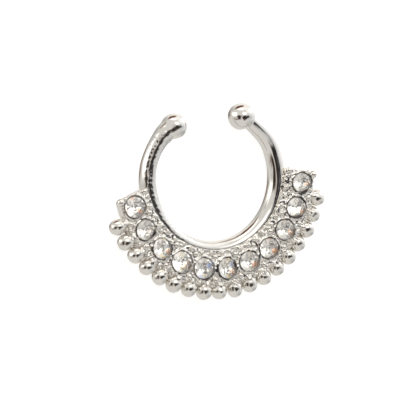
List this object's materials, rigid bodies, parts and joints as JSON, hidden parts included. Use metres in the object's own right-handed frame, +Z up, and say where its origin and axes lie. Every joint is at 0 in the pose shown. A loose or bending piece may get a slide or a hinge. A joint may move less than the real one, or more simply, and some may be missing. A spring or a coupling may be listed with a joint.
{
  "type": "fake septum ring",
  "caption": "Open round hoop with a ball on each end and a crystal-set fan with a beaded edge, worn clipped on the septum.",
  "frame": {"origin": "middle of the outline, on the surface that the ring lies on", "axes": "+X to the right along the fan's length, +Y toward the gap between the balls, +Z up, out of the face that holds the stones"},
  "size_m": [0.0192, 0.0154, 0.0022],
  "materials": {
    "plated_metal": "polished silver-coloured plating, softly uneven from the casting",
    "crystal": "clear, brilliant cut"
  },
  "bodies": {
    "root": {"ring_casting": "plated_metal", "stone_01": "crystal", "stone_02": "crystal", "stone_03": "crystal", "stone_04": "crystal", "stone_05": "crystal", "stone_06": "crystal", "stone_07": "crystal", "stone_08": "crystal", "stone_09": "crystal", "stone_10": "crystal", "stone_11": "crystal"}
  },
  "joints": []
}
